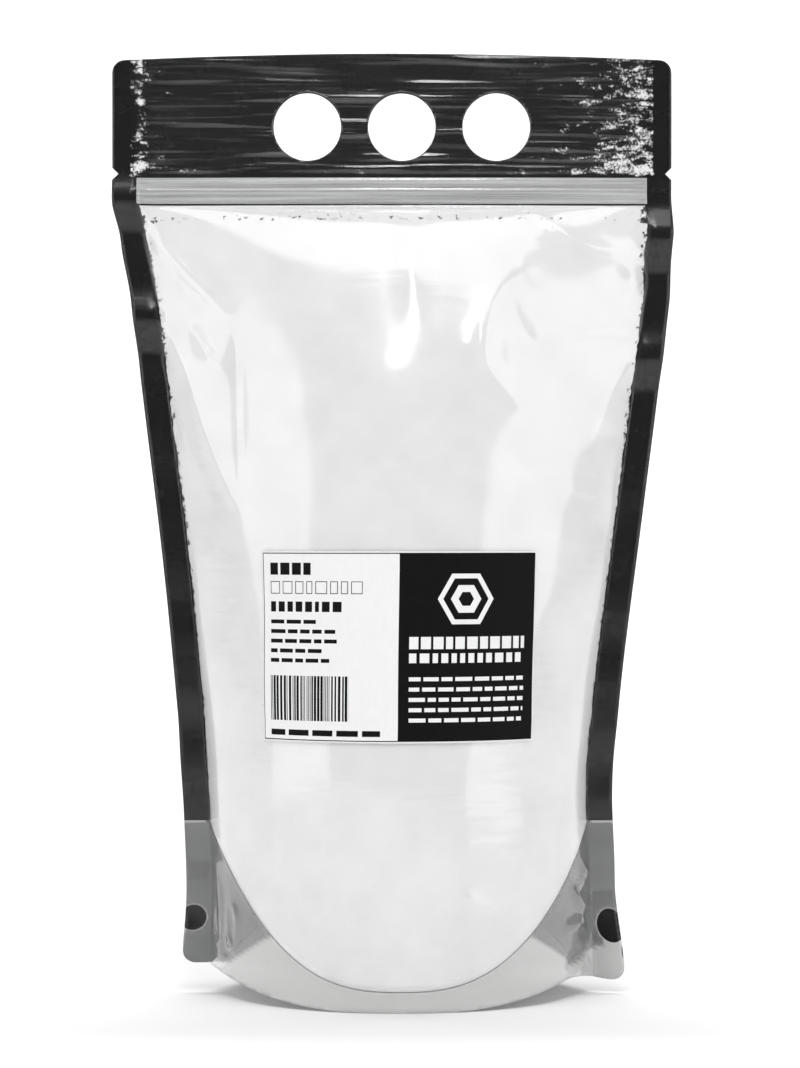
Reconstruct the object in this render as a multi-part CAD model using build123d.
from build123d import *
import math
import os

# A resealable stand-up pouch of loose chalk powder, in millimetres. +Z is up, the front is -Y,
# and the origin is on the resting surface, in the middle of the pouch.

# ---- pouch, flat sizes ----
POUCH_WIDTH = 220.0  # across both side seals, laid flat
POUCH_HEIGHT = 367.0  # from the resting surface to the top edge
SIDE_SEAL = 10.0  # width of each heat-sealed side seam
PANEL_WIDTH = POUCH_WIDTH - 2 * SIDE_SEAL  # free film between the seams, which keeps its length
FILM = 0.4  # thickness of each film wall
TOP_CORNER = 5.0  # radius of the top corners
BASE_CORNER = 5.0  # radius of the lower corners

# ---- pouch, filled shape ----
HALF_DEPTH = 56.0  # how far each wall stands out from the seam plane when full
BELLY_TOP = 71.0  # the belly keeps its full depth up to this height
FOLD_Z = 308.0  # where the walls meet, just under the zip
CLOSED_GAP = 1.2  # from the seam plane to each wall's inner face at the zip
SHOULDER = (1.5, 0.58)  # the two powers that shape the wall between belly and zip
SHOULDER_STEPS = 16  # sections from the belly to the fold, closer together near the fold

# ---- bottom gusset ----
GUSSET_Z = 67.0  # where the gusset's fold meets the side seams
FLOOR_FLAT = 30.0  # half width of the flat floor that the pouch stands on
FLOOR_POWER = 1.6  # how steeply the floor climbs to the seams
FLOOR_FILM = 0.8  # thickness of the gusset's floor, measured upright
SEAL_FIT = 0.05  # room left between faces that touch: the gusset's, the walls' and the powder's
SEAM_OVERLAP = 0.6  # how far the gusset's folded edge runs in past the side seam
SEAL_RISE = 7.8  # height of the U-shaped seal over the middle of the skirt
SEAL_POWER = 2.75
CORNER_LIFT = 11.3  # the lower corners hang this far above the surface
SKIRT_FLAT = 12.0  # half length of the skirt's edge that touches the surface
SKIRT_POWER = 2.2
WELD_DOT_RADIUS = 5.5  # hole in the gusset where front and back wall are welded together
WELD_DOT_Z = 29.0
WELD_DOT_INSET = 3.0  # from the seam's outer edge to the dot's middle

# ---- header with its zip, finger holes and tear notches ----
FLAP_CLEARANCE = 0.3  # between the header flaps and the walls under them
FLAP_SIDE_CLEARANCE = 0.5
ZIP_LOW = 309.4
ZIP_HEIGHT = 10.2
ZIP_BASE = 0.5  # thickness of each zip strip's base
ZIP_TRACK = 0.8  # width of each rib
ZIP_PITCH = 1.1  # half the distance between two ribs of one strip
ZIP_RIB = 1.0  # how far a rib stands out of its base
HOLE_RADIUS = 13.25
HOLE_PITCH = 37.2
HOLE_Z = 339.8
HOLE_ROW_X = 1.5  # the punched row is this far off the pouch's middle
NOTCH_Z = 321.2
NOTCH_DEPTH = 2.4

# ---- label ----
LABEL_WIDTH = 110.0
LABEL_HEIGHT = 72.0
LABEL_Z = 137.1
LABEL_PAPER = 0.15
LABEL_GLUE = 0.1  # thickness of the adhesive under it

# ---- powder ----
POWDER_TOP = 300.0
POWDER_INSET = 0.5  # from the wall's inner face to the powder

FAR = 200.0  # reach of cutting tools past the pouch
PUNCH = 4.0  # length of the punch that makes a hole through one film
CURVE_SPANS = 8  # spans in each half of the floor's, seal's and skirt's curves
STATION_GAP = 1.0  # no section is closer than this to the end of its range
HALVINGS = 60  # how often the search for an arc halves its range
FRONT, BACK = -1, 1


def bulge(z):
    """Distance from the seam plane to a wall's inner face, at height z."""
    climb = min(max((z - BELLY_TOP) / (FOLD_Z - BELLY_TOP), 0.0), 1.0)
    return CLOSED_GAP + (HALF_DEPTH - CLOSED_GAP) * (1 - climb ** SHOULDER[0]) ** SHOULDER[1]


def bowed(sagitta):
    """Radius and half chord of the arc that a panel of fixed width makes, standing out by sagitta."""
    low, high = 1e-4, math.pi / 2
    for _ in range(HALVINGS):
        angle = (low + high) / 2
        if (1 - math.cos(angle)) / (2 * angle) < sagitta / PANEL_WIDTH:
            low = angle
        else:
            high = angle
    radius = PANEL_WIDTH / (2 * low)
    return radius, radius * math.sin(low)


SEAM_X = bowed(HALF_DEPTH)[1]  # from the middle to the seams' inner edge at the base
EDGE_X = SEAM_X + SIDE_SEAL
STATIONS = [BELLY_TOP + (FOLD_Z - BELLY_TOP) * math.sin(math.pi / 2 * step / SHOULDER_STEPS)
            for step in range(SHOULDER_STEPS + 1)]


def wall_section(z, side):
    """Outline of one wall at height z: the bowed film with a flat seam at each end."""
    depth = bulge(z)
    radius, inner = bowed(depth)
    outer = math.sqrt((radius + FILM) ** 2 - (radius - depth + FILM) ** 2)
    edge = inner + SIDE_SEAL
    points = [(-edge, 0), (-inner, 0), (inner, 0), (edge, 0)]
    points += [(edge, FILM), (outer, FILM), (-outer, FILM), (-edge, FILM)]
    corners = [Vector(x, side * y, z) for x, y in points]
    crests = {1: depth, 5: depth + FILM}
    edges = []
    for index, start in enumerate(corners):
        end = corners[(index + 1) % len(corners)]
        if index in crests:
            crest = Vector(0, side * crests[index], z)
            edges.append(Edge.make_three_point_arc(start, crest, end))
        else:
            edges.append(Edge.make_line(start, end))
    return Wire(edges)


def heights_between(low, high):
    """The stations inside a range, and the range's own ends."""
    return [low] + [z for z in STATIONS if low + STATION_GAP < z < high - STATION_GAP] + [high]


def straight_belly(section):
    """The lower pouch, which keeps one section up to the belly's top."""
    return Part() + Solid.extrude(Face(section), Vector(0, 0, BELLY_TOP))


def cavity_section(z, inset):
    """Outline of the space between the walls at height z, shrunk by inset from each wall."""
    depth = bulge(z)
    radius = bowed(depth)[0]
    half = math.sqrt((radius - inset) ** 2 - (radius - depth) ** 2)
    left, right = Vector(-half, 0, z), Vector(half, 0, z)
    front = Edge.make_three_point_arc(left, Vector(0, inset - depth, z), right)
    back = Edge.make_three_point_arc(right, Vector(0, depth - inset, z), left)
    return Wire([front, back])


def rise(x, flat, height, power):
    """A curve that is level within flat of the middle, and climbs by height out to the seams."""
    share = min(max((abs(x) - flat) / (SEAM_X - flat), 0.0), 1.0)
    return height * share ** power


def floor_height(x):
    return rise(x, FLOOR_FLAT, GUSSET_Z, FLOOR_POWER)


def seal_height(x):
    return SEAL_RISE + rise(x, 0.0, GUSSET_Z - SEAL_RISE, SEAL_POWER)


def skirt_height(x):
    return rise(x, SKIRT_FLAT, CORNER_LIFT, SKIRT_POWER)


def slab_under(height_at, flat, lift=0.0):
    """Everything under a curve across the pouch, raised by lift."""
    reach = [flat + (SEAM_X - flat) * step / CURVE_SPANS for step in range(CURVE_SPANS + 1)]
    climb = [(x, height_at(x) + lift) for x in reach]
    right = Spline(*climb)
    left = Spline(*[(-x, z) for x, z in climb])
    top = height_at(SEAM_X) + lift
    below = Polyline((SEAM_X, top), (FAR, top), (FAR, -FAR), (-FAR, -FAR), (-FAR, top), (-SEAM_X, top))
    outline = right + left + below
    if flat > 0:
        outline = outline + Line(climb[0], (-flat, climb[0][1]))
    return extrude(Plane.XZ * make_face(outline), amount=FAR, both=True)


def gusset_seam(side):
    """The gusset's folded edge, caught between the walls in one side seam, less its weld dot."""
    start, end = SEAM_X - SEAM_OVERLAP, EDGE_X
    strip = Box(end - start, FILM, GUSSET_Z)
    strip = Pos(side * (start + end) / 2, 0, GUSSET_Z / 2) * strip
    dot = Rot(90, 0, 0) * Cylinder(WELD_DOT_RADIUS, PUNCH)
    return strip - Pos(side * (EDGE_X - WELD_DOT_INSET), 0, WELD_DOT_Z) * dot


def corner_cutter(x, z, radius, side, up):
    """The waste outside a rounded corner of the seams."""
    block = Box(2 * radius, FAR, 2 * radius)
    round_bar = Rot(90, 0, 0) * Cylinder(radius, 2 * FAR)
    inside = Pos(-side * radius, 0, -up * radius) * round_bar
    return Pos(x, 0, z) * (block - inside - Pos(-side * 2 * radius, 0, 0) * block
                           - Pos(0, 0, -up * 2 * radius) * block)


def seam_waste():
    """Everything trimmed off the side seams: rounded corners and tear notches."""
    waste = []
    for side in (-1, 1):
        top_x = side * POUCH_WIDTH / 2
        waste.append(corner_cutter(top_x, POUCH_HEIGHT, TOP_CORNER, side, 1))
        waste.append(corner_cutter(side * EDGE_X, CORNER_LIFT, BASE_CORNER, side, -1))
        notch = Polyline((top_x + side, NOTCH_Z + NOTCH_DEPTH), (top_x - side * NOTCH_DEPTH, NOTCH_Z),
                         (top_x + side, NOTCH_Z - NOTCH_DEPTH), close=True)
        waste.append(extrude(Plane.XZ * make_face(notch), amount=FAR, both=True))
    return waste


def tall_seam(side_x, side_y):
    """The part of a side seam that runs past the header flaps, up to the top edge."""
    strip = Box(SIDE_SEAL, FILM, POUCH_HEIGHT - FOLD_Z)
    middle = (POUCH_WIDTH - SIDE_SEAL) / 2
    return Pos(side_x * middle, side_y * FILM / 2, (POUCH_HEIGHT + FOLD_Z) / 2) * strip


def wall(side, gusset_seams, waste):
    """One fixed wall of the pouch, from the skirt's edge to the fold, with its tall side seams."""
    body = straight_belly(wall_section(0.0, side))
    body += Solid.make_loft([wall_section(z, side) for z in STATIONS])
    for side_x in (-1, 1):
        body += tall_seam(side_x, side)
    body -= slab_under(skirt_height, SKIRT_FLAT)
    for cutter in gusset_seams + waste:
        body -= cutter
    return body


def gusset(seams, waste):
    """The bottom film: a floor that spans the pouch, a lining sealed inside both skirts, and seams."""
    inside = straight_belly(cavity_section(0.0, SEAL_FIT))
    floor = slab_under(floor_height, FLOOR_FLAT, FLOOR_FILM) - slab_under(floor_height, FLOOR_FLAT)
    lining = inside - straight_belly(cavity_section(0.0, FILM))
    lining = lining & slab_under(seal_height, 0.0)
    lining -= slab_under(skirt_height, SKIRT_FLAT)
    body = (floor & inside) + lining
    for seam in seams:
        body += seam - slab_under(skirt_height, SKIRT_FLAT)
    for cutter in waste:
        body -= cutter
    return body


def powder():
    """The powder that fills the pouch, resting on the gusset's floor."""
    body = straight_belly(cavity_section(0.0, POWDER_INSET))
    stations = heights_between(BELLY_TOP, POWDER_TOP)
    body += Solid.make_loft([cavity_section(z, POWDER_INSET) for z in stations])
    return body - slab_under(floor_height, FLOOR_FLAT, FLOOR_FILM + SEAL_FIT)


def label():
    """A printed label, stuck round the front wall."""
    sections = []
    for z in heights_between(LABEL_Z - LABEL_HEIGHT / 2, LABEL_Z + LABEL_HEIGHT / 2):
        radius = bowed(bulge(z))[0] + FILM + LABEL_GLUE
        behind = radius - bulge(z) - FILM - LABEL_GLUE
        reach = LABEL_WIDTH / 2 / radius
        arcs = []
        for skin in (radius, radius + LABEL_PAPER):
            x, y = skin * math.sin(reach), behind - skin * math.cos(reach)
            crest = Vector(0, behind - skin, z)
            arcs.append(Edge.make_three_point_arc(Vector(-x, y, z), crest, Vector(x, y, z)))
        joins = [Edge.make_line(arcs[0] @ way, arcs[1] @ way) for way in (0, 1)]
        sections.append(Wire([arcs[0], joins[1], arcs[1], joins[0]]))
    return Solid.make_loft(sections)


def header_flap(side):
    """One wall of the header: it swings out from the fold when the zip is pulled open."""
    bottom = FOLD_Z + FLAP_CLEARANCE
    panel = Box(PANEL_WIDTH - 2 * FLAP_SIDE_CLEARANCE, FILM, POUCH_HEIGHT - bottom)
    panel = Pos(0, side * (CLOSED_GAP + FILM / 2), (POUCH_HEIGHT + bottom) / 2) * panel
    for step in (-1, 0, 1):
        hole = Rot(90, 0, 0) * Cylinder(HOLE_RADIUS, PUNCH)
        panel -= Pos(HOLE_ROW_X + step * HOLE_PITCH, side * CLOSED_GAP, HOLE_Z) * hole
    return panel


def zip_strip(side, rib_steps):
    """One half of the press-to-close zip: a flat base with ribs that face the other half."""
    length = PANEL_WIDTH - 2 * FLAP_SIDE_CLEARANCE
    middle = ZIP_LOW + ZIP_HEIGHT / 2
    base = Pos(0, side * (CLOSED_GAP - ZIP_BASE / 2), middle) * Box(length, ZIP_BASE, ZIP_HEIGHT)
    for step in rib_steps:
        rib = Box(length, ZIP_RIB, ZIP_TRACK)
        base += Pos(0, side * (CLOSED_GAP - ZIP_BASE - ZIP_RIB / 2), middle + step * ZIP_PITCH) * rib
    return base


waste = seam_waste()
gusset_seams = [gusset_seam(-1), gusset_seam(1)]
parts = {
    "front_film": wall(FRONT, gusset_seams, waste),
    "back_film": wall(BACK, gusset_seams, waste),
    "bottom_gusset": gusset(gusset_seams, waste),
    "chalk_powder": powder(),
    "label": label(),
    "front_flap": header_flap(FRONT),
    "back_flap": header_flap(BACK),
    "zip_rib_strip": zip_strip(FRONT, (-1, 1)),
    "zip_groove_strip": zip_strip(BACK, (-2, 0, 2)),
}

os.makedirs("parts", exist_ok=True)
for name, shape in parts.items():
    export_step(shape, f"parts/{name}.step")
    print(name, "volume", round(shape.volume), "mm3")
